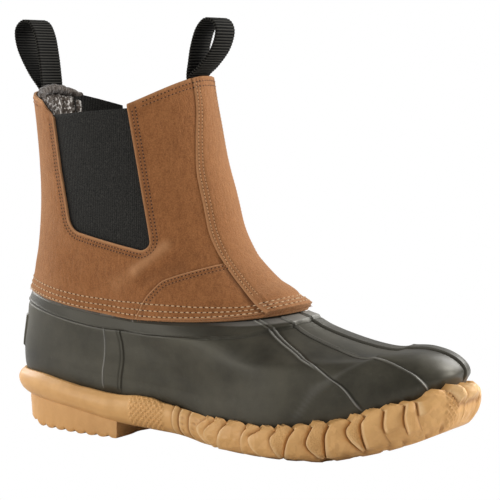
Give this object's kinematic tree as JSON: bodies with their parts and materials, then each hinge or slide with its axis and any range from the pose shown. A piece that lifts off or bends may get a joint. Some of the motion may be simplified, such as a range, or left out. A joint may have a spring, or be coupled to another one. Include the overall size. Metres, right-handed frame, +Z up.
{
  "type": "pull-on rubber-bottom boot",
  "caption": "Ankle-high pull-on boot with a moulded rubber foot, suede shaft, elastic side gores, webbing pull loops and a gum-rubber chain-tread sole.",
  "frame": {"origin": "middle of the boot's box on the floor under the sole", "axes": "+X to the toe, +Y to the inner (medial) side of the foot, +Z up from the floor"},
  "size_m": [0.3142, 0.1136, 0.2588],
  "materials": {
    "gum_rubber": "satin moulded gum rubber",
    "dark_rubber": "satin moulded rubber",
    "suede": "napped suede",
    "elastic": "fine ribbed elastic",
    "webbing": "ribbed webbing",
    "footbed": "felt"
  },
  "bodies": {
    "root": {"outsole": "gum_rubber", "insole": "footbed", "rubber_shell": "dark_rubber", "suede_shaft": "suede", "front_strip": "suede", "side_panel_lateral": "suede", "side_panel_medial": "suede", "gore_lateral": "elastic", "gore_medial": "elastic", "pull_loop_front": "webbing", "pull_loop_back": "webbing"}
  },
  "joints": []
}
